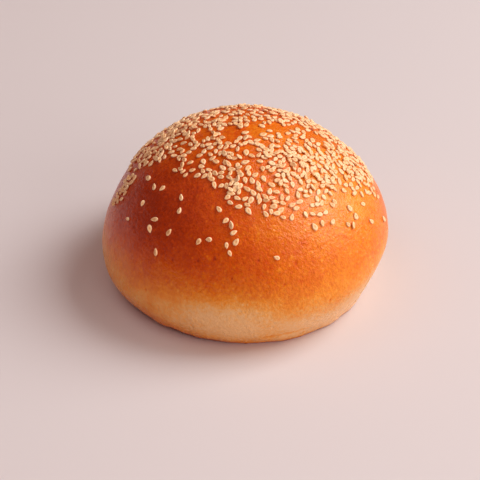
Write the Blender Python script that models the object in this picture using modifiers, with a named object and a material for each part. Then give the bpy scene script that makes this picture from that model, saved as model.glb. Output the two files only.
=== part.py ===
"""Bread roll: one domed, round bun of one piece that rests on its flat base.

Units are metres, +Z is up, and the origin is the centre of the footprint's box on the base plane.
The bun is a turned body whose profile is two smooth curves: the crown, from the top down to the
widest level, and the flank, from there under to the base edge. The turned body is then made uneven,
as a hand-shaped bun is: a slight oval, three soft lobes, a widest level that runs higher on the +X
side, and shallow swells. The base stays flat.
"""

import math

import bpy
from mathutils import Vector
from mathutils.geometry import interpolate_bezier

# Driving dimensions
BUN_WIDTH = 0.1075
BUN_HEIGHT = 0.0622
BASE_WIDTH = 0.0922
WIDEST_LEVEL = 0.0164

# Shares of its own stretch for which each curve runs flat at the top or bottom, and upright at the side
CROWN_FLAT = 0.60
CROWN_UPRIGHT = 0.365
FLANK_FLAT = 0.06
FLANK_UPRIGHT = 0.36

# Unevenness of the rise: shares of the radius, turns in degrees from +X, and lengths in metres
LOBE_SHARE = 0.003
LOBE_TURN = -43.0
OVAL_SHARE = 0.0085
OVAL_TURN = -45.0
WIDEST_LEVEL_RISE = 0.0047
SWELLS = (
    # share of the radius, waves round the bun, turn in degrees, waves up the bun, start in degrees
    (0.0035, 5, 20.0, 0.9, 40.0),
    (0.0025, 7, 75.0, 1.6, 200.0),
    (0.0030, 4, 130.0, 1.2, 310.0),
)

# Facets
CROWN_RINGS = 26
FLANK_RINGS = 14
SEGMENTS = 84
MERGE_DISTANCE = 0.00001

CRUST_COLOUR = (0.50, 0.17, 0.045, 1.0)
CRUST_ROUGHNESS = 0.38
CRUST_METALLIC = 0.0
SMOOTH_BELOW_DEGREES = 40.0


def clear_scene():
    """Remove whatever the scene holds."""
    for old in list(bpy.data.objects):
        bpy.data.objects.remove(old, do_unlink=True)


def new_collection(name):
    """A collection of its own under the scene."""
    collection = bpy.data.collections.new(name)
    bpy.context.scene.collection.children.link(collection)
    return collection


def crown_profile():
    """Points from the top of the crown down to the widest level."""
    radius = BUN_WIDTH / 2.0
    dome = BUN_HEIGHT - WIDEST_LEVEL
    top = Vector((0.0, 0.0, BUN_HEIGHT))
    top_handle = Vector((CROWN_FLAT * radius, 0.0, BUN_HEIGHT))
    side_handle = Vector((radius, 0.0, WIDEST_LEVEL + CROWN_UPRIGHT * dome))
    side = Vector((radius, 0.0, WIDEST_LEVEL))
    return interpolate_bezier(top, top_handle, side_handle, side, CROWN_RINGS)


def flank_profile():
    """Points from the widest level in and down to the base edge."""
    radius = BUN_WIDTH / 2.0
    base_radius = BASE_WIDTH / 2.0
    tuck = radius - base_radius
    side = Vector((radius, 0.0, WIDEST_LEVEL))
    side_handle = Vector((radius, 0.0, WIDEST_LEVEL * (1.0 - FLANK_UPRIGHT)))
    edge_handle = Vector((base_radius + FLANK_FLAT * tuck, 0.0, 0.0))
    edge = Vector((base_radius, 0.0, 0.0))
    return interpolate_bezier(side, side_handle, edge_handle, edge, FLANK_RINGS)


def turned_body(name, profile, collection):
    """The profile turned about the Z axis by a Screw modifier, as a mesh object."""
    mesh = bpy.data.meshes.new(name + "_profile")
    edges = [(index, index + 1) for index in range(len(profile) - 1)]
    mesh.from_pydata(profile, edges, [])
    outline = bpy.data.objects.new(name + "_profile", mesh)
    collection.objects.link(outline)
    screw = outline.modifiers.new("Turn", "SCREW")
    screw.axis = "Z"
    screw.angle = 2.0 * math.pi
    screw.steps = SEGMENTS
    screw.render_steps = SEGMENTS
    screw.use_merge_vertices = True
    screw.merge_threshold = MERGE_DISTANCE
    graph = bpy.context.evaluated_depsgraph_get()
    turned = bpy.data.meshes.new_from_object(outline.evaluated_get(graph))
    turned.name = name
    bpy.data.objects.remove(outline, do_unlink=True)
    body = bpy.data.objects.new(name, turned)
    collection.objects.link(body)
    return body


def level_bump(level):
    """1 at the widest level, falling smoothly to 0 at the base and at the crown."""
    peak = WIDEST_LEVEL / BUN_HEIGHT
    fall = (1.0 - peak) / peak
    return (level / peak) * ((1.0 - level) / (1.0 - peak)) ** fall


def swelling(azimuth, level):
    """Share by which the radius grows or shrinks at an azimuth and a level."""
    share = LOBE_SHARE * math.cos(3.0 * (azimuth - math.radians(LOBE_TURN)))
    share += OVAL_SHARE * math.cos(2.0 * (azimuth - math.radians(OVAL_TURN)))
    for size, waves, turn, waves_up, start in SWELLS:
        up = math.sin(2.0 * math.pi * waves_up * level + math.radians(start))
        share += size * up * math.cos(waves * (azimuth - math.radians(turn)))
    return share


def uneven_point(x, y, z):
    """Where a point of the turned body goes in the uneven bun."""
    level = min(max(z / BUN_HEIGHT, 0.0), 1.0)
    grown = 1.0 + swelling(math.atan2(y, x), level)
    rise = WIDEST_LEVEL_RISE * (2.0 * x / BUN_WIDTH) * level_bump(level)
    return x * grown, y * grown, z + rise


def make_uneven(body):
    """Move every point of the turned body to its place in the uneven bun."""
    for vertex in body.data.vertices:
        vertex.co = uneven_point(*vertex.co)


def centre_footprint(body):
    """Slide the body so that its box stands centred on the origin."""
    across = [vertex.co.x for vertex in body.data.vertices]
    deep = [vertex.co.y for vertex in body.data.vertices]
    middle_x = (min(across) + max(across)) / 2.0
    middle_y = (min(deep) + max(deep)) / 2.0
    for vertex in body.data.vertices:
        vertex.co.x -= middle_x
        vertex.co.y -= middle_y


def crust_material():
    """Glossy baked crust."""
    material = bpy.data.materials.new("crust")
    material.use_nodes = True
    shader = material.node_tree.nodes["Principled BSDF"]
    shader.inputs["Base Color"].default_value = CRUST_COLOUR
    shader.inputs["Roughness"].default_value = CRUST_ROUGHNESS
    shader.inputs["Metallic"].default_value = CRUST_METALLIC
    material.diffuse_color = CRUST_COLOUR
    return material


def make_bread_roll(collection):
    """The whole bun: crown, flank and base are one solid."""
    base_centre = Vector((0.0, 0.0, 0.0))
    profile = crown_profile() + flank_profile()[1:] + [base_centre]
    body = turned_body("bread_roll", profile, collection)
    make_uneven(body)
    centre_footprint(body)
    body.data.materials.append(crust_material())
    body.data.shade_smooth()
    body.data.set_sharp_from_angle(angle=math.radians(SMOOTH_BELOW_DEGREES))
    return body


def main():
    clear_scene()
    make_bread_roll(new_collection("bread_roll"))


main()
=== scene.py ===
"""Sesame bun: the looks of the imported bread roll.

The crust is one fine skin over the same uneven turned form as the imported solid, with dents, dimples,
pits, blisters and a crease as real relief, and a flat base. The sesame seeds are one joined piece of
closed teardrop seeds, strewn over the crown in the drifts, gaps and loose trails of a real bun.
Units are metres, +Z is up, and the side towards -Y is the front.
"""

import math
import random

import bpy
import numpy as np
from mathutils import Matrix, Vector, noise
from mathutils.bvhtree import BVHTree


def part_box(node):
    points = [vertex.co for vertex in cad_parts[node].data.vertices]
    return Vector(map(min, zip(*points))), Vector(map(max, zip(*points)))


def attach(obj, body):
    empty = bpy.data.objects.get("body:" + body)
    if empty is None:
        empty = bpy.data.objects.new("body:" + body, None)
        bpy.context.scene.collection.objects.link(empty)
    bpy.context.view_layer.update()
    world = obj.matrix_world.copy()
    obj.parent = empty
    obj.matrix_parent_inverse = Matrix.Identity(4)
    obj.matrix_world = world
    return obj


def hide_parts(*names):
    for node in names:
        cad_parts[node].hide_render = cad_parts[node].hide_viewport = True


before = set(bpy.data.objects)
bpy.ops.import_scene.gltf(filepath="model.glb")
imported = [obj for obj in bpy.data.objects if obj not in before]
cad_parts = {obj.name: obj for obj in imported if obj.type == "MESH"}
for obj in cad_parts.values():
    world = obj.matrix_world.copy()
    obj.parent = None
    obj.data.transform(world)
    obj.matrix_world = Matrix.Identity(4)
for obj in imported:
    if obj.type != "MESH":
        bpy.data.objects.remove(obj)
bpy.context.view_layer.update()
MM = 0.001

# ---------------------------------------------------------------- form of the bun
# Shares of the bun's width, height or radius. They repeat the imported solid's form.
BASE_SHARE = 0.8577
WIDEST_SHARE = 0.2637
CROWN_FLAT = 0.60
CROWN_UPRIGHT = 0.365
FLANK_FLAT = 0.06
FLANK_UPRIGHT = 0.36
LOBE_SHARE = 0.003
LOBE_TURN = -43.0
OVAL_SHARE = 0.0085
OVAL_TURN = -45.0
WIDEST_RISE_SHARE = 0.0756
SWELLS = (
    # share of the radius, waves round the bun, turn in degrees, waves up the bun, start in degrees
    (0.0035, 5, 20.0, 0.9, 40.0),
    (0.0025, 7, 75.0, 1.6, 200.0),
    (0.0030, 4, 130.0, 1.2, 310.0),
)

BOX_LOW, BOX_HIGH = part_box("bread_roll")
HEIGHT = BOX_HIGH[2] - BOX_LOW[2]
RADIUS = (BOX_HIGH[0] - BOX_LOW[0]) / 2.0

# The bake map: the skin's square, and the base's disc in the strip beside it
MAP_MARGIN = 0.004
SKIN_MAP_SIDE = 0.76
BASE_MAP_MIDDLE = 0.88
BASE_MAP_RADIUS = 0.10

PROFILE_STEPS = 160
SKIN_SIDE = 280
BASE_RINGS = 10


def bezier(knot, handle, other_handle, other_knot):
    """Points of one cubic Bezier curve, as rows of (across, up)."""
    t = np.linspace(0.0, 1.0, PROFILE_STEPS + 1)[:, None]
    near = (1 - t) ** 3 * np.array(knot) + 3 * (1 - t) ** 2 * t * np.array(handle)
    far = 3 * (1 - t) * t**2 * np.array(other_handle) + t**3 * np.array(other_knot)
    return near + far


def bun_profile():
    """(across, up) in shares of the radius and height, from the crown's top to the base edge."""
    widest = WIDEST_SHARE
    tuck = 1.0 - BASE_SHARE
    crown_side = (1.0, widest + CROWN_UPRIGHT * (1.0 - widest))
    crown = bezier((0.0, 1.0), (CROWN_FLAT, 1.0), crown_side, (1.0, widest))
    flank_side = (1.0, widest * (1.0 - FLANK_UPRIGHT))
    flank_foot = (BASE_SHARE + FLANK_FLAT * tuck, 0.0)
    flank = bezier((1.0, widest), flank_side, flank_foot, (BASE_SHARE, 0.0))
    return np.vstack([crown, flank[1:]])


def level_bump(level):
    """1 at the widest level, falling smoothly to 0 at the base and at the crown."""
    fall = (1.0 - WIDEST_SHARE) / WIDEST_SHARE
    return (level / WIDEST_SHARE) * ((1.0 - level) / (1.0 - WIDEST_SHARE)) ** fall


def uneven(azimuth, across, up):
    """Places in shares of the radius and height of points of the uneven bun, as an array (..., 3)."""
    share = LOBE_SHARE * np.cos(3.0 * (azimuth - math.radians(LOBE_TURN)))
    share = share + OVAL_SHARE * np.cos(2.0 * (azimuth - math.radians(OVAL_TURN)))
    for size, waves, turn, waves_up, start in SWELLS:
        wave_up = np.sin(2.0 * math.pi * waves_up * up + math.radians(start))
        share = share + size * wave_up * np.cos(waves * (azimuth - math.radians(turn)))
    x = across * np.cos(azimuth)
    y = across * np.sin(azimuth)
    z = up + WIDEST_RISE_SHARE * x * level_bump(up)
    return np.stack([x * (1.0 + share), y * (1.0 + share), z], axis=-1)


PROFILE = bun_profile()


def area_shares(profile):
    """Share of the skin's area above each profile point."""
    across = profile[:, 0] * RADIUS
    up = profile[:, 1] * HEIGHT
    lengths = np.hypot(np.diff(across), np.diff(up))
    bands = lengths * (across[1:] + across[:-1]) / 2.0
    total = np.concatenate([[0.0], np.cumsum(bands)])
    return total / total[-1]


AREA_SHARES = area_shares(PROFILE)


def fit_to_box():
    """Middle and half-size of the unfitted form in plan, which bun_point turns into the solid's box."""
    azimuth, index = np.meshgrid(np.linspace(0.0, 2.0 * math.pi, 721), np.arange(len(PROFILE)))
    points = uneven(azimuth, PROFILE[index, 0], PROFILE[index, 1])
    low = points.min(axis=(0, 1))
    high = points.max(axis=(0, 1))
    return (low + high) / 2.0, (high - low) / 2.0


FORM_MIDDLE, FORM_HALF = fit_to_box()


def bun_point(azimuth, area_share):
    """Points of the smooth bun in metres, at an azimuth and at a share of the skin's area from the top."""
    across = np.interp(area_share, AREA_SHARES, PROFILE[:, 0])
    up = np.interp(area_share, AREA_SHARES, PROFILE[:, 1])
    points = uneven(azimuth, across, up)
    points[..., 0] = (points[..., 0] - FORM_MIDDLE[0]) * RADIUS / FORM_HALF[0]
    points[..., 1] = (points[..., 1] - FORM_MIDDLE[1]) * RADIUS / FORM_HALF[1]
    points[..., 2] = points[..., 2] * HEIGHT
    return points


def smooth_step(low, high, value):
    """0 below low, 1 above high, smooth between; low may be above high."""
    share = np.clip((value - low) / (high - low), 0.0, 1.0)
    return share * share * (3.0 - 2.0 * share)


# ---------------------------------------------------------------- crust relief
# Scale and height of each layer of unevenness, in millimetres
DENT_LAYERS = ((16.0, 0.22), (7.0, 0.10), (3.0, 0.055), (1.5, 0.045))
# How many pits and blisters there are, where they lie as shares of the skin's area from the top,
# and their radii in millimetres
PIT_COUNT = 46
PIT_AREA = (0.25, 0.98)
PIT_RADII = (0.40, 0.75)
BLISTER_COUNT = 560
BLISTER_AREA = (0.15, 0.95)
BLISTER_RADII = (0.30, 0.75)
# Marks that stand out on the front: azimuth in degrees, height and radius in millimetres
FRONT_PITS = ((249.0, 12.3, 0.75), (296.0, 2.2, 0.7), (232.0, 16.5, 0.5), (250.0, 35.7, 0.7),
              (257.0, 36.9, 0.9), (265.0, 31.4, 0.45), (196.0, 31.0, 0.6), (229.0, 22.0, 0.6))
FRONT_BLISTERS = ((290.0, 36.2, 1.1), (284.0, 33.1, 1.0), (277.0, 37.5, 0.6), (301.0, 34.0, 0.7))
# The base edge is a little ragged: scale and reach of each layer in millimetres
RIM_LAYERS = ((11.0, 0.75), (4.5, 0.35), (2.0, 0.18))
RIM_HEIGHTS = (7.5, 0.5)
# Crinkles of the crust just above the base
CRINKLE_SCALE = 1.3
CRINKLE_SIZE = 0.16
CRINKLE_HEIGHTS = (5.0, 1.5)
# A crease low on the front: azimuths in degrees, height and slope in millimetres
CREASE_TURNS = (276.0, 302.0)
CREASE_HEIGHT = 5.2
CREASE_SLOPE = 0.05
CREASE_DEPTH = 0.30
CREASE_WIDTH = 0.45
CREASE_ENDS = (6.0, 9.0)
CREASE_WANDER = 0.35
CREASE_WANDER_SCALE = 6.0
# How far blisters stand out and pits go in, and the heights over which relief grows from none
BLISTER_RISE = 0.08
PIT_DEPTH = 0.30
RELIEF_HEIGHTS = (0.2, 2.5)
RELIEF_START = 11


def noise_field(points, scale_mm, seed):
    """Smooth noise about -1 to 1 at each point, with features of the given size."""
    shift = Vector((seed * 3.7, seed * 1.9, seed * 5.3))
    scale = 1.0 / (scale_mm * MM)
    return np.array([noise.noise(Vector(point) * scale + shift) for point in points])


def disc_grid(side):
    """Radius and azimuth of the points of a square grid folded onto a disc, equal area to equal area."""
    line = np.linspace(-1.0, 1.0, side + 1)
    u, v = np.meshgrid(line, line, indexing="ij")
    wide = np.abs(u) >= np.abs(v)
    reach = np.where(wide, u, v)
    safe = np.where(reach == 0.0, 1.0, reach)
    turn = np.where(wide, v / safe, 2.0 - u / safe) * math.pi / 4.0
    azimuth = np.where(reach < 0.0, turn + math.pi, turn)
    return np.abs(reach), azimuth


def skin_boundary(side):
    """Indices of the square grid's border points, in order round the bun."""
    step = side + 1
    bottom = [i * step for i in range(side)]
    right = [side * step + j for j in range(side)]
    top = [i * step + side for i in range(side, 0, -1)]
    left = list(range(side, 0, -1))
    return bottom + right + top + left


def skin_faces(side):
    """Quads of the square grid."""
    step = side + 1
    i, j = np.meshgrid(np.arange(side), np.arange(side), indexing="ij")
    corner = (i * step + j).ravel()
    return np.stack([corner, corner + step, corner + step + 1, corner + 1], axis=1)


def crust_mesh():
    """The closed mesh of the bun: the equal-area skin, and the base as rings inside its border."""
    reach, azimuth = disc_grid(SKIN_SIDE)
    skin = bun_point(azimuth.ravel(), reach.ravel() ** 2)
    border = skin_boundary(SKIN_SIDE)
    rim = skin[border]
    middle = rim.mean(axis=0)
    rings = [rim + (middle - rim) * (ring / BASE_RINGS) for ring in range(1, BASE_RINGS)]
    points = np.vstack([skin, *rings, middle[None, :]])
    faces = [tuple(int(corner) for corner in face) for face in skin_faces(SKIN_SIDE)]
    outer = list(border)
    start = len(skin)
    count = len(border)
    for ring in range(1, BASE_RINGS):
        inner = list(range(start, start + count))
        for k in range(count):
            after = (k + 1) % count
            faces.append((outer[k], inner[k], inner[after], outer[after]))
        outer = inner
        start += count
    for k in range(count):
        faces.append((outer[k], start, outer[(k + 1) % count]))
    mesh = bpy.data.meshes.new("crust")
    mesh.from_pydata([tuple(point) for point in points], [], faces)
    mesh.update()
    return mesh


def mesh_points(mesh):
    """The mesh's points as an array."""
    points = np.empty(len(mesh.vertices) * 3)
    mesh.vertices.foreach_get("co", points)
    return points.reshape(-1, 3)


def mesh_normals(mesh):
    """The mesh's point normals as an array."""
    normals = np.empty(len(mesh.vertices) * 3)
    mesh.vertices.foreach_get("normal", normals)
    return normals.reshape(-1, 3)


def lay_bake_map(mesh):
    """A UV map for baking: the skin's square grid, and the base as a small disc beside it."""
    corners = np.empty(len(mesh.loops), dtype=np.int64)
    mesh.loops.foreach_get("vertex_index", corners)
    step = SKIN_SIDE + 1
    grid = np.stack([corners // step, corners % step], axis=1) * (SKIN_MAP_SIDE / SKIN_SIDE)
    base = mesh_points(mesh)[corners, :2] * (BASE_MAP_RADIUS / (BASE_SHARE * RADIUS)) + BASE_MAP_MIDDLE
    in_skin = np.arange(len(corners)) < 4 * SKIN_SIDE**2
    places = np.where(in_skin[:, None], grid + MAP_MARGIN, base)
    layer = mesh.uv_layers.new(name="OFBake")
    layer.data.foreach_set("uv", places.ravel())


def ragged_rim(points):
    """How far each point moves outwards near the base, in millimetres, as an array."""
    height = points[:, 2] / MM
    across = np.hypot(points[:, 0], points[:, 1])
    rim = points / np.maximum(across, 1e-6)[:, None] * BASE_SHARE * RADIUS
    rim[:, 2] = points[:, 2]
    reach = np.zeros(len(points))
    for layer, (scale, size) in enumerate(RIM_LAYERS):
        reach += size * noise_field(rim, scale, 30 + layer)
    inside = np.minimum(across / (BASE_SHARE * RADIUS), 1.0)
    return reach * inside * smooth_step(*RIM_HEIGHTS, height)


def crease_field(points):
    """1 along the bottom of the crease, falling to 0 beside it."""
    azimuth = np.degrees(np.arctan2(points[:, 1], points[:, 0])) % 360.0
    start, end = CREASE_TURNS
    first, last = CREASE_ENDS
    along = smooth_step(start, start + first, azimuth) * smooth_step(end, end - last, azimuth)
    wander = CREASE_WANDER * noise_field(points, CREASE_WANDER_SCALE, 41)
    line = CREASE_HEIGHT + CREASE_SLOPE * (azimuth - start) + wander
    return along * np.exp(-((points[:, 2] / MM - line) / CREASE_WIDTH) ** 2)


def scattered_marks(count, area_span, radius_span, rng):
    """Random places on the smooth bun in a span of its area, and radii, for that many marks."""
    azimuths = np.array([rng.uniform(0.0, 2.0 * math.pi) for _ in range(count)])
    shares = np.array([rng.uniform(*area_span) for _ in range(count)])
    radii = [rng.uniform(*radius_span) * MM for _ in range(count)]
    return bun_point(azimuths, shares), radii


def listed_marks(marks):
    """Places on the smooth bun and radii of marks given by azimuth, height and radius."""
    azimuths = np.radians([mark[0] for mark in marks])
    levels = [mark[1] * MM / HEIGHT for mark in marks]
    shares = np.interp(levels, PROFILE[::-1, 1], AREA_SHARES[::-1])
    return bun_point(azimuths, shares), [mark[2] * MM for mark in marks]


def mark_field(points, places, sizes):
    """The strongest of many small round marks at each point: 1 at a mark's middle, 0 at its edge."""
    field = np.zeros(len(points))
    for place, size in zip(places, sizes):
        near = np.nonzero(np.abs(points - place).max(axis=1) < size)[0]
        share = np.linalg.norm(points[near] - place, axis=1) / size
        field[near] = np.maximum(field[near], 1.0 - smooth_step(0.0, 1.0, share))
    return field


def add_field(mesh, name, values):
    """Store one number for each point, which the material reads by name."""
    attribute = mesh.attributes.new(name, "FLOAT", "POINT")
    attribute.data.foreach_set("value", np.asarray(values, dtype=np.float32))


# How far the crust is baked, from 0 pale to 1 deepest brown, by height in millimetres. The darkest rows at
# the base edge are partly a browned rim and partly painted contact shade
BAKED_BY_HEIGHT = (
    (0.0, 0.85), (0.8, 0.55), (2.2, 0.30), (4.5, 0.22), (7.0, 0.17), (10.0, 0.16), (13.0, 0.19),
    (18.0, 0.28), (23.0, 0.38), (28.0, 0.50), (34.0, 0.61), (40.0, 0.63), (52.0, 0.64), (62.0, 0.58),
)
# Painted shade: the crust is darker on the side away from the key lamp, over its uneven browning, and
# darker still near the base there as painted contact shade
SHADED_SIDE_TURN = 216.0
SHADED_SIDE_BELT = ((0.0, 0.32), (5.0, 0.21), (10.0, 0.07), (16.0, 0.0), (28.0, 0.17), (34.0, 0.27),
                  (40.0, 0.34), (46.0, 0.32), (53.0, 0.19), (60.0, 0.02))
# Painted light: the crust is paler on the side that faces the key and low lamps, low on the flank and in a
# painted highlight band high up
LIT_SIDE_TURN = 335.0
LIT_SIDE_BELT = ((1.0, 0.60), (5.0, 0.38), (9.0, 0.24), (16.0, 0.04), (28.0, 0.05), (34.0, 0.17),
                   (42.0, 0.30), (52.0, 0.30), (60.0, 0.12))
# The flank that touched its neighbour on the tray and stayed pale
PALE_PATCH_TURN = 262.0
PALE_PATCH_SPREAD = 19.0
PALE_PATCH_BELT = ((3.0, 0.06), (8.0, 0.13), (12.0, 0.22), (16.0, 0.26), (20.0, 0.23), (24.0, 0.13),
                   (28.0, 0.05), (32.0, 0.0))


def by_height(height, rows):
    """Value at each height of a short list of (height, value) rows."""
    return np.interp(height, [row[0] for row in rows], [row[1] for row in rows])


def facing(azimuth, turn):
    """1 on the side that faces a turn in degrees, 0 on the far side."""
    return 0.5 + 0.5 * np.cos(azimuth - math.radians(turn))


def browning_and_painted_light_field(points):
    """How far the crust is baked at each point, from 0 to 1, with painted light and shade mixed in: darker
    on the shaded side, at the base edge and in the crease, paler with a painted highlight on the lit side.
    """
    azimuth = np.arctan2(points[:, 1], points[:, 0])
    height = points[:, 2] / MM
    drifted = height + smooth_step(3.0, 12.0, height) * 1.8 * noise_field(points, 17.0, 3)
    off_patch = (np.degrees(azimuth) - PALE_PATCH_TURN + 180.0) % 360.0 - 180.0
    patch = np.exp(-((off_patch + 5.0 * noise_field(points, 12.0, 4)) / PALE_PATCH_SPREAD) ** 2)
    baked = by_height(drifted, BAKED_BY_HEIGHT)
    # Painted shade: darker on the side away from the key lamp
    baked = baked + by_height(drifted, SHADED_SIDE_BELT) * facing(azimuth, SHADED_SIDE_TURN) ** 7
    # Painted light and a painted highlight: paler on the side that faces the lamps
    baked = baked - by_height(drifted, LIT_SIDE_BELT) * facing(azimuth, LIT_SIDE_TURN) ** 5
    baked = baked - by_height(height, PALE_PATCH_BELT) * patch
    baked = baked + 0.06 * noise_field(points, 8.0, 5) + 0.05 * noise_field(points, 3.4, 6)
    # The crease is painted darker: painted shade in the crease
    return np.clip(baked + 0.25 * crease_field(points), 0.0, 1.0)


def shape_crust(mesh):
    """Give the skin its relief, and store the fields that the crust's material reads."""
    rng = random.Random(RELIEF_START)
    points = mesh_points(mesh)
    normals = mesh_normals(mesh)
    height = points[:, 2] / MM
    on_skin = smooth_step(*RELIEF_HEIGHTS, height)
    lift = np.zeros(len(points))
    for layer, (scale, size) in enumerate(DENT_LAYERS):
        lift += size * noise_field(points, scale, 10 + layer)
    crinkled = CRINKLE_SIZE * smooth_step(*CRINKLE_HEIGHTS, height)
    lift += crinkled * noise_field(points, CRINKLE_SCALE, 45)
    pits = np.maximum(
        mark_field(points, *scattered_marks(PIT_COUNT, PIT_AREA, PIT_RADII, rng)),
        mark_field(points, *listed_marks(FRONT_PITS)),
    )
    blisters = np.maximum(
        mark_field(points, *scattered_marks(BLISTER_COUNT, BLISTER_AREA, BLISTER_RADII, rng)),
        mark_field(points, *listed_marks(FRONT_BLISTERS)),
    )
    crease = crease_field(points)
    lift += BLISTER_RISE * blisters - PIT_DEPTH * pits - CREASE_DEPTH * crease
    moved = points + normals * (lift * on_skin * MM)[:, None]
    moved[:, :2] *= 1.0 + (ragged_rim(points) * MM / (BASE_SHARE * RADIUS))[:, None]
    mesh.vertices.foreach_set("co", moved.ravel())
    # The stored browning carries the crust's baking together with painted light and shade
    add_field(mesh, "browning_and_painted_light", browning_and_painted_light_field(points))
    add_field(mesh, "pits", pits * on_skin)
    add_field(mesh, "blisters", blisters * on_skin)
    mesh.update()


# ---------------------------------------------------------------- sesame seeds
SEED_LENGTH = 2.65 * MM
SEED_WIDTH = 1.58 * MM
SEED_DEPTH = 0.76 * MM
SEED_SIDES = 16
# Rings of a seed from the middle of its upper face to the middle of its lower face:
# share of the outline, and height as a share of half the depth
SEED_RINGS = ((0.34, 0.80), (0.62, 1.0), (0.86, 0.72), (1.0, 0.0), (0.78, -0.85))
SEED_TOP = 0.74
SEED_BOTTOM = -1.0

# How far the seeds reach from the bun's middle, in millimetres, by azimuth in degrees
SEED_REACH = (
    (0, 47), (20, 47), (45, 45), (70, 43), (95, 42), (120, 43), (145, 44), (165, 44), (180, 40),
    (192, 33), (200, 30), (215, 29), (228, 28), (244, 26), (254, 29), (263, 34), (275, 35.5),
    (290, 37.5), (305, 40), (314, 41), (322, 37), (331, 38.5), (340, 43), (350, 46), (360, 47),
)
# Patches in plan: middle x and y, radius, all in millimetres, and how much they add to the cover
SEED_PATCHES = (
    (-9.5, -7.0, 3.6, 0.6), (-5.5, -17.0, 3.0, 0.6), (-3.0, -23.0, 3.0, 0.6),
    (-2.5, -29.0, 3.0, 0.6), (-22.5, -16.5, 2.8, 0.6), (17.0, -18.0, 10.0, 0.55),
    (26.0, -14.0, 8.0, 0.5), (36.0, -3.0, 9.0, 0.5), (-24.0, 4.0, 8.0, 0.55), (-14.0, 12.0, 5.0, 0.45),
    (2.0, 7.0, 5.0, 0.4), (21.0, 14.0, 7.0, 0.35), (-44.0, -5.0, 4.5, 0.7),
    (8.0, -33.0, 3.0, 0.4), (-30.0, -4.0, 4.0, 0.3),
    (-5.0, -4.0, 4.5, -0.7), (3.5, -2.5, 4.0, -0.8), (11.5, 0.5, 4.0, -0.6),
    (25.5, 3.0, 3.6, -0.6), (-15.0, -1.5, 3.0, -0.7), (-17.5, -11.5, 3.0, -0.5),
    (-28.0, -13.5, 5.5, -0.9), (4.0, -21.0, 2.6, -0.45), (-13.5, 9.0, 3.0, -0.6),
    (6.0, 17.5, 3.0, -0.35), (-12.0, 19.0, 3.5, -0.5), (30.5, -27.0, 3.0, -0.5),
)
# The patch that lies beyond the reach of the drifts
OUTLYING_PATCH = (-44.0, -5.0)
SEED_COVER = 0.36
# How far the edge of the drifts fades inside and outside their reach, and the cover's ripple
EDGE_INSIDE = 0.5
EDGE_OUTSIDE = 1.3
RIPPLE_SCALE = 5.5
RIPPLE_SIZE = 0.08
# Seeds are tried at random on the crown and kept where the cover and the spacing allow it. The
# spacing is in millimetres, and closes up as the cover rises
SEED_START = 4
SEED_TRIES = 15000
CROWN_AREA_SHARE = 0.62
SEED_SPACING = (1.45, 2.15)
SPACING_WHERE_BARE = 1.12
SPACING_FALL = 0.32
# Loose seeds that rolled off the drifts: x and y in millimetres, the turn in degrees of the blunt
# end as the camera sees it, and the roll in degrees about the seed's length
LOOSE_SEEDS = (
    (-34.1, -12.4, -30, 5), (-31.7, -17.7, -90, 8), (-28.7, -20.3, 45, 5), (-35.6, -20.4, 65, 50),
    (-41.4, -19.9, -20, 10), (-31.3, -28.2, 5, 5), (-32.8, -29.8, 95, 25), (-21.8, -26.7, -90, 4),
    (-22.3, -30.4, 250, 12), (-26.0, -34.3, 230, 6), (-30.6, -36.4, -90, 14), (-15.6, -40.4, 55, 8),
    (-12.1, -40.8, 0, 6), (-8.7, -33.8, -50, 5), (-6.4, -37.3, 40, 6), (-4.4, -38.6, 280, 40),
    (-3.6, -40.5, 210, 6), (-2.8, -42.7, 235, 4), (-6.0, -43.1, 95, 6), (-4.9, -44.8, 115, 6),
    (11.0, -45.5, -20, 8), (36.7, -23.0, -50, 20), (39.0, -24.0, -75, 12), (36.0, -28.5, -45, 25),
    (38.0, -27.5, 80, 25), (31.2, -24.2, -45, 15), (30.4, -25.7, -45, 15), (45.0, -20.5, -40, 10),
    (42.0, -17.2, -5, 8), (48.5, -5.5, 80, 8), (46.9, -7.0, -60, 15), (50.4, -12.0, -70, 10),
    (-11.4, -23.9, -5, 15), (-13.8, -22.3, 35, 10), (-8.1, -22.4, 10, 20), (-8.2, -23.8, 0, 15),
    (26.8, -33.0, 100, 10), (24.0, -35.0, -60, 10), (30.5, -30.8, -120, 12), (-39.5, -6.0, 70, 10),
    (-23.0, -11.2, 100, 10), (-18.0, -9.1, 15, 10),
)


def seed_outline(turn):
    """(along, aside) of a seed's rim in shares of its half length and half width, blunt at 0."""
    along = math.cos(turn)
    taper = 1.0 + 0.30 * along - 0.16 * along * along
    return along, math.sin(turn) * taper


def seed_shape():
    """Points and faces of one seed lying flat, in shares of its half length, width and depth."""
    outline = [seed_outline(2.0 * math.pi * k / SEED_SIDES) for k in range(SEED_SIDES)]
    points = [(0.0, 0.0, SEED_TOP)]
    for share, height in SEED_RINGS:
        points += [(along * share, aside * share, height) for along, aside in outline]
    points.append((0.0, 0.0, SEED_BOTTOM))
    faces = []
    for k in range(SEED_SIDES):
        after = (k + 1) % SEED_SIDES
        faces.append((0, 1 + k, 1 + after))
        for ring in range(len(SEED_RINGS) - 1):
            near = 1 + ring * SEED_SIDES
            far = near + SEED_SIDES
            faces.append((near + k, far + k, far + after, near + after))
        last = 1 + (len(SEED_RINGS) - 1) * SEED_SIDES
        faces.append((len(points) - 1, last + after, last + k))
    return np.array(points), faces


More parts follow.
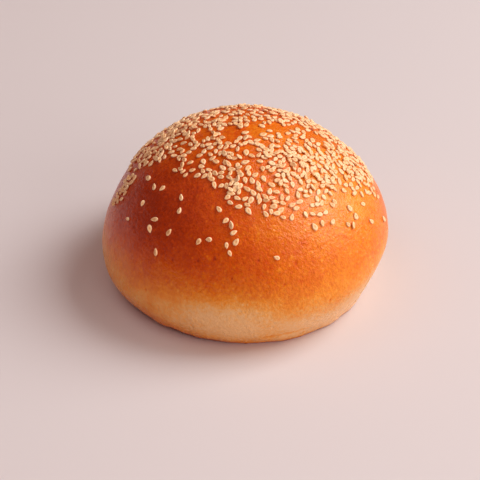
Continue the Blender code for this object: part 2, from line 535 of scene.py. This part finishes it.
def seed_cover(x, y):
    """How readily seeds are kept at a place in plan, in millimetres, from 0 to 1."""
    azimuth = math.degrees(math.atan2(y, x)) % 360.0
    reach = np.interp(azimuth, [row[0] for row in SEED_REACH], [row[1] for row in SEED_REACH])
    distance = math.hypot(x, y)
    edge = 1.0 - smooth_step(reach - EDGE_INSIDE, reach + EDGE_OUTSIDE, distance)
    cover = SEED_COVER * edge
    for middle_x, middle_y, radius, more in SEED_PATCHES:
        away = math.hypot(x - middle_x, y - middle_y) / radius
        patch = more * (1.0 - smooth_step(0.55, 1.15, away))
        past_edge = more < 0.0 or (middle_x, middle_y) == OUTLYING_PATCH
        cover += patch if past_edge else patch * edge
    ripple = noise.noise(Vector((x / RIPPLE_SCALE, y / RIPPLE_SCALE, 7.7)))
    return min(max(cover + RIPPLE_SIZE * ripple * edge, 0.0), 1.0)


def strewn_places(rng, tree):
    """Place and normal of every seed on the crown, the loose ones first."""
    chosen = []
    for x, y, _, _ in LOOSE_SEEDS:
        chosen.append(drop_on(tree, x * MM, y * MM))
    for _ in range(SEED_TRIES):
        azimuth = rng.uniform(0.0, 2.0 * math.pi)
        share = rng.uniform(0.0, CROWN_AREA_SHARE)
        spacing = rng.uniform(*SEED_SPACING) * MM
        keep = rng.random()
        point = bun_point(np.array([azimuth]), np.array([share]))[0]
        cover = seed_cover(point[0] / MM, point[1] / MM)
        if keep > cover:
            continue
        place, normal, _, _ = tree.find_nearest(Vector(point))
        gap = min((place - other).length for other, _ in chosen)
        if gap < spacing * (SPACING_WHERE_BARE - SPACING_FALL * cover):
            continue
        chosen.append((place, normal))
    return chosen


def drop_on(tree, x, y):
    """Where a seed dropped at a place in plan lands, and the crust's normal there."""
    place, normal, _, _ = tree.ray_cast(Vector((x, y, 2.0 * HEIGHT)), Vector((0.0, 0.0, -1.0)))
    return place, normal


def random_turn(normal, rng):
    """A random direction along the crust."""
    turn = rng.uniform(0.0, 2.0 * math.pi)
    helper = Vector((1.0, 0.0, 0.0)) if abs(normal.x) < 0.8 else Vector((0.0, 1.0, 0.0))
    side = normal.cross(helper).normalized()
    return side * math.cos(turn) + normal.cross(side) * math.sin(turn)


def turn_as_seen(normal, degrees):
    """The direction along the crust that the camera sees at an angle from its own right."""
    view = direction(-90.0, CAMERA_ELEVATION)
    right = Vector((1.0, 0.0, 0.0))
    turn = math.radians(degrees)
    seen = right * math.cos(turn) + view.cross(right) * math.sin(turn)
    return (seen - view * (seen.dot(normal) / max(view.dot(normal), 0.1))).normalized()


def seed_axes(normal, along, tip, roll):
    """Length, width and depth directions of a seed tipped up at one end and rolled, in radians."""
    aside = normal.cross(along).normalized()
    along = aside.cross(normal)
    along = along * math.cos(tip) + normal * math.sin(tip)
    up = along.cross(aside)
    aside = aside * math.cos(roll) + up * math.sin(roll)
    return along, aside, along.cross(aside)


# A seed this far from one laid before it, in metres, starts to lie on it, and then lies fully on it
PILE_GAPS = (2.1 * MM, 1.4 * MM)
PILE_RISE = 0.55
# Spread in degrees of how seeds tip and roll, alone and more so in a pile
SEED_TIP = 5.0
PILE_TIP = 9.0
SEED_ROLL = 7.0
PILE_ROLL = 12.0
# Spread of seed sizes as shares: the whole seed, its length, its width and its depth
GROWN_SPREAD = 0.07
LENGTH_SPREAD = 0.05
WIDTH_SPREAD = 0.07
DEPTH_SPREAD = 0.08
# How high a seed's middle sits, in shares of its half depth, and of its half width when rolled
SEED_SEAT = 0.6
ROLLED_SEAT = 0.7
# Reach of the painted shade in the dimple of a seed's face, as a share of the half length
DIMPLE_SHADE_REACH = 0.7


def settle_seed(number, place, normal, gap, rng):
    """Middle and half axes of one seed, from its gap to the nearest seed laid before it."""
    lift = float(smooth_step(*PILE_GAPS, gap))
    tip = math.radians(rng.gauss(0.0, SEED_TIP + PILE_TIP * lift))
    roll = math.radians(rng.gauss(0.0, SEED_ROLL + PILE_ROLL * lift))
    along = random_turn(normal, rng)
    if number < len(LOOSE_SEEDS):
        lift = 0.0
        along = turn_as_seen(normal, LOOSE_SEEDS[number][2])
        roll = math.radians(LOOSE_SEEDS[number][3])
    along, aside, up = seed_axes(normal, along, tip, roll)
    grown = rng.gauss(1.0, GROWN_SPREAD)
    length = SEED_LENGTH / 2.0 * grown * rng.gauss(1.0, LENGTH_SPREAD)
    width = SEED_WIDTH / 2.0 * grown * rng.gauss(1.0, WIDTH_SPREAD)
    depth = SEED_DEPTH / 2.0 * rng.gauss(1.0, DEPTH_SPREAD)
    seat = depth * SEED_SEAT + abs(math.sin(roll)) * width * ROLLED_SEAT
    seat += SEED_DEPTH * PILE_RISE * lift
    return place + normal * seat, np.array([along * length, aside * width, up * depth])


def make_seeds(crust):
    """All the sesame seeds, as one joined mesh of closed seeds."""
    rng = random.Random(SEED_START)
    tree = BVHTree.FromPolygons(
        [vertex.co.copy() for vertex in crust.data.vertices],
        [tuple(face.vertices) for face in crust.data.polygons],
    )
    shape, shape_faces = seed_shape()
    places = strewn_places(rng, tree)
    points = []
    faces = []
    tones = []
    for number, (place, normal) in enumerate(places):
        gaps = ((place - other).length for other, _ in places[:number])
        gap = min(gaps, default=SEED_LENGTH)
        middle, axes = settle_seed(number, place, normal, gap, rng)
        start = number * len(shape)
        points.append(shape @ axes + np.array(middle))
        faces += [tuple(start + corner for corner in face) for face in shape_faces]
        tones.append(np.full(len(shape), rng.random()))
    # Painted shade in the dimple in the middle of each seed's face
    mark = np.clip(1.0 - np.hypot(shape[:, 0], shape[:, 1]) / DIMPLE_SHADE_REACH, 0.0, 1.0)
    mesh = bpy.data.meshes.new("sesame_seeds")
    mesh.from_pydata([tuple(point) for point in np.vstack(points)], [], faces)
    mesh.update()
    add_field(mesh, "tone", np.concatenate(tones))
    add_field(mesh, "middle", np.tile(mark, len(places)))
    mesh.shade_smooth()
    seeds = bpy.data.objects.new("sesame_seeds", mesh)
    bpy.context.scene.collection.objects.link(seeds)
    return seeds


# ---------------------------------------------------------------- materials
def new_material(name):
    """A material with its Principled shader, and a function that adds a wired node."""
    material = bpy.data.materials.new(name)
    material.use_nodes = True
    tree = material.node_tree
    shader = tree.nodes["Principled BSDF"]

    def add(kind, inputs=None, **settings):
        node = tree.nodes.new(kind)
        for key, value in settings.items():
            setattr(node, key, value)
        for key, value in (inputs or {}).items():
            if isinstance(value, bpy.types.NodeSocket):
                tree.links.new(value, node.inputs[key])
            else:
                node.inputs[key].default_value = value
        return node

    def wire(socket, key):
        tree.links.new(socket, shader.inputs[key])

    return material, shader, add, wire


def ramp(add, socket, stops):
    """A colour ramp fed by a socket, with stops of (position, colour)."""
    node = add("ShaderNodeValToRGB", {"Fac": socket})
    elements = node.color_ramp.elements
    while len(elements) < len(stops):
        elements.new(0.5)
    for element, (position, colour) in zip(elements, stops):
        element.position = position
        element.color = (*colour, 1.0)
    return node.outputs["Color"]


def weigh(add, socket, weight, onto):
    """A socket times a weight, plus another socket."""
    return add("ShaderNodeMath", {0: socket, 1: weight, 2: onto}, operation="MULTIPLY_ADD").outputs[0]


# Mean of the crust's two weighted noises, which is taken off again
NOISE_MEAN = 0.446


def crust_material():
    """Egg-washed crust: browned by the stored field, which also holds painted light and shade, mottled,
    dimpled, with painted shade in the pits, and softly glossy.
    """
    material, shader, add, wire = new_material("crust_skin")
    where = add("ShaderNodeTexCoord").outputs["Object"]
    # The browning field holds the crust's baking together with painted light and shade
    browning_and_painted_light = add("ShaderNodeAttribute", attribute_name="browning_and_painted_light").outputs["Fac"]
    pits = add("ShaderNodeAttribute", attribute_name="pits").outputs["Fac"]
    blisters = add("ShaderNodeAttribute", attribute_name="blisters").outputs["Fac"]
    mottle = add("ShaderNodeTexNoise", {"Vector": where, "Scale": 780.0, "Detail": 4.0, "Roughness": 0.8})
    clouds = add("ShaderNodeTexNoise", {"Vector": where, "Scale": 110.0, "Detail": 3.0, "Roughness": 0.5})
    mixed = weigh(add, mottle.outputs["Fac"], 0.72, browning_and_painted_light)
    mixed = weigh(add, clouds.outputs["Fac"], 0.16, mixed)
    mixed = add("ShaderNodeMath", {0: mixed, 1: NOISE_MEAN}, operation="SUBTRACT").outputs[0]
    # Pits are painted darker: painted shade in the pits
    mixed = weigh(add, pits, 0.40, mixed)
    mixed = weigh(add, blisters, -0.28, mixed)
    colour = ramp(add, mixed, (
        (0.00, (0.90, 0.49, 0.20)),
        (0.15, (0.90, 0.385, 0.080)),
        (0.30, (0.88, 0.265, 0.014)),
        (0.47, (0.77, 0.160, 0.004)),
        (0.65, (0.66, 0.085, 0.001)),
        (0.84, (0.52, 0.045, 0.001)),
        (1.00, (0.37, 0.026, 0.001)),
    ))
    wire(colour, "Base Color")
    skin = add("ShaderNodeTexNoise", {"Vector": where, "Scale": 850.0, "Detail": 3.0, "Roughness": 0.65})
    bump = add("ShaderNodeBump", {"Height": skin.outputs["Fac"], "Strength": 1.0, "Distance": 0.00042})
    wire(bump.outputs["Normal"], "Normal")
    gloss = add("ShaderNodeMapRange", {"Value": clouds.outputs["Fac"], "From Min": 0.3, "From Max": 0.7,
                                      "To Min": 0.22, "To Max": 0.33})
    wire(gloss.outputs["Result"], "Roughness")
    shader.inputs["IOR"].default_value = 1.45
    return material


def seed_material():
    """Hulled sesame: cream to light tan, with painted shade in the dimple in the middle of each face."""
    material, shader, add, wire = new_material("sesame_hull")
    where = add("ShaderNodeTexCoord").outputs["Object"]
    tone = add("ShaderNodeAttribute", attribute_name="tone").outputs["Fac"]
    middle = add("ShaderNodeAttribute", attribute_name="middle").outputs["Fac"]
    grain = add("ShaderNodeTexNoise", {"Vector": where, "Scale": 1600.0, "Detail": 2.0})
    mixed = add("ShaderNodeMath", {0: tone, 1: 0.40}, operation="MULTIPLY").outputs[0]
    # The middle field darkens each face's dimple: painted shade
    mixed = weigh(add, middle, 0.80, mixed)
    mixed = weigh(add, grain.outputs["Fac"], 0.16, mixed)
    colour = ramp(add, mixed, (
        (0.0, (0.97, 0.69, 0.41)),
        (0.45, (0.97, 0.59, 0.29)),
        (1.0, (0.80, 0.38, 0.15)),
    ))
    wire(colour, "Base Color")
    shader.inputs["Roughness"].default_value = 0.42
    shader.inputs["IOR"].default_value = 1.47
    return material


def floor_material():
    """Pale pinkish studio paper."""
    material, shader, _, _ = new_material("floor_paper")
    shader.inputs["Base Color"].default_value = (0.690, 0.612, 0.598, 1.0)
    shader.inputs["Roughness"].default_value = 0.75
    return material


# ---------------------------------------------------------------- stage
FLOOR_RADIUS = 1.1
FLOOR_SIDES = 96
CAMERA_ELEVATION = 34.0
CAMERA_DISTANCE = 0.5
CAMERA_HEIGHT_ON_BUN = 0.03
CAMERA_AIM = (-0.0016, -0.0081, 0.0179)
LENS = 101.0

LAMPS = (
    # name, azimuth and elevation in degrees, distance and size in metres, power in watts, colour
    ("key", 14.0, 46.0, 1.90, 1.12, 35.0, (0.94, 0.98, 1.0)),
    ("low_side", -38.0, 15.0, 1.30, 1.20, 10.0, (1.0, 0.98, 0.96)),
    ("front_fill", -95.0, 57.0, 1.30, 1.00, 2.1, (1.0, 0.96, 0.97)),
    ("left_fill", 180.0, 60.0, 1.30, 1.00, 2.5, (1.0, 0.97, 0.97)),
)
UNSEEN_IN_GLOSS = ("low_side", "front_fill", "left_fill")
WORLD_COLOUR = (1.0, 0.40, 0.26, 1.0)
WORLD_STRENGTH = 0.16


def direction(azimuth, elevation):
    """Unit vector at an azimuth from +X and an elevation, in degrees."""
    turn = math.radians(azimuth)
    rise = math.radians(elevation)
    return Vector((math.cos(turn) * math.cos(rise), math.sin(turn) * math.cos(rise), math.sin(rise)))


def look_at(thing, target):
    """Turn a camera or lamp so that it faces the target."""
    thing.rotation_euler = (Vector(target) - thing.location).to_track_quat("-Z", "Y").to_euler()


def make_camera():
    """The camera, above the front of the bun."""
    data = bpy.data.cameras.new("camera")
    data.lens = LENS
    data.clip_end = 20.0
    camera = bpy.data.objects.new("camera", data)
    bpy.context.scene.collection.objects.link(camera)
    camera.location = Vector((0.0, 0.0, CAMERA_HEIGHT_ON_BUN)) + CAMERA_DISTANCE * direction(
        -90.0, CAMERA_ELEVATION
    )
    look_at(camera, CAMERA_AIM)
    bpy.context.scene.camera = camera


def make_lamp(name, azimuth, elevation, distance, size, power, colour):
    """A square soft lamp that faces the bun."""
    data = bpy.data.lights.new(name, "AREA")
    data.size = size
    data.energy = power
    data.color = colour
    lamp = bpy.data.objects.new(name, data)
    bpy.context.scene.collection.objects.link(lamp)
    lamp.location = distance * direction(azimuth, elevation)
    look_at(lamp, (0.0, 0.0, HEIGHT / 2.0))
    lamp.visible_glossy = name not in UNSEEN_IN_GLOSS


def make_world():
    """Even, weak, warm light from all round."""
    world = bpy.data.worlds.new("studio")
    bpy.context.scene.world = world
    world.use_nodes = True
    background = world.node_tree.nodes["Background"]
    background.inputs["Color"].default_value = WORLD_COLOUR
    background.inputs["Strength"].default_value = WORLD_STRENGTH


def make_floor():
    """The plain surface that the bun rests on."""
    bpy.ops.mesh.primitive_circle_add(
        vertices=FLOOR_SIDES, radius=FLOOR_RADIUS, fill_type="NGON", location=(0.0, 0.0, BOX_LOW[2])
    )
    floor = bpy.context.object
    floor.name = "floor"
    floor.data.materials.append(floor_material())


def make_crust():
    """The bun's crust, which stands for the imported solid."""
    mesh = crust_mesh()
    lay_bake_map(mesh)
    shape_crust(mesh)
    mesh.materials.append(crust_material())
    mesh.shade_smooth()
    crust = bpy.data.objects.new("crust", mesh)
    bpy.context.scene.collection.objects.link(crust)
    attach(crust, "root")
    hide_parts("bread_roll")
    return crust


def strew_seeds(crust):
    """The sesame seeds, which ride on the bun."""
    seeds = make_seeds(crust)
    seeds.data.materials.append(seed_material())
    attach(seeds, "root")


bpy.context.scene.view_settings.view_transform = "Standard"
make_camera()
make_world()
make_floor()
for lamp in LAMPS:
    make_lamp(*lamp)
strew_seeds(make_crust())
